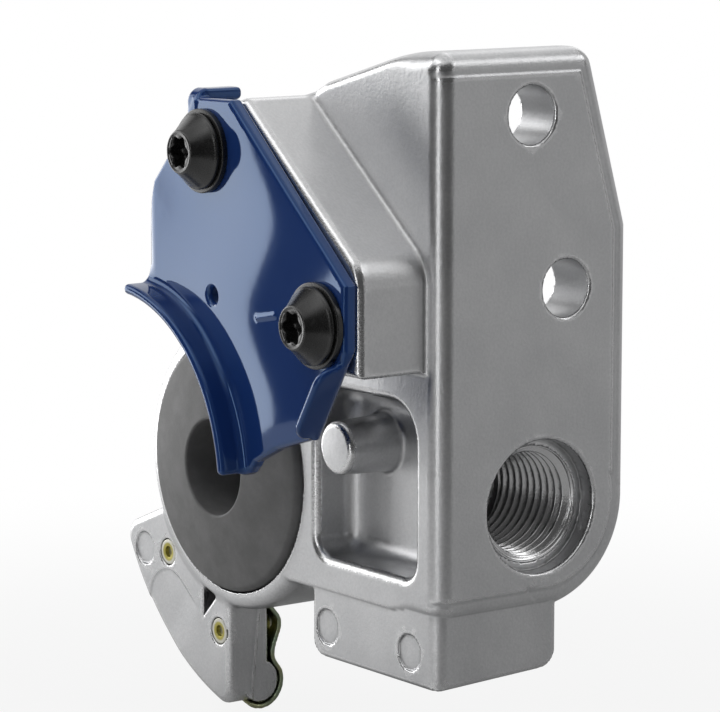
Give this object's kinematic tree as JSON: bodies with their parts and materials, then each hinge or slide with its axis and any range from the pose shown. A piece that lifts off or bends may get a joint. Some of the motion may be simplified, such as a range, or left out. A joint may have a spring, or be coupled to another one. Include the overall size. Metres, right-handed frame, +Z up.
{
  "type": "gladhand air brake coupler",
  "caption": "Die-cast gladhand coupler for a trailer air brake line: bolted mounting face, threaded air port, rubber coupling seal, blue detent plate and a wing with a riveted wear plate.",
  "frame": {"origin": "midway between the two mounting bolt holes, on the mounting face", "axes": "+X out of the mounting face, -Y out of the coupling face, +Z up along the mounting face"},
  "size_m": [0.1031, 0.066, 0.1289],
  "materials": {
    "cast_aluminium": "tumbled die casting, satin, with a fine grain and bright edges",
    "seal_rubber": "matt moulded rubber",
    "blue_paint": "glossy dark blue powder coat",
    "black_steel": "black oxide, satin",
    "plated_steel": "zinc plated with a yellow to green passivation",
    "yellow_rivet": "yellow passivated zinc"
  },
  "bodies": {
    "root": {"body": "cast_aluminium", "seal": "seal_rubber", "detent_plate": "blue_paint", "upper_screw": "black_steel", "lower_screw": "black_steel", "upper_washer": "black_steel", "lower_washer": "black_steel", "wear_plate": "plated_steel", "upper_rivet": "yellow_rivet", "lower_rivet": "yellow_rivet"}
  },
  "joints": []
}
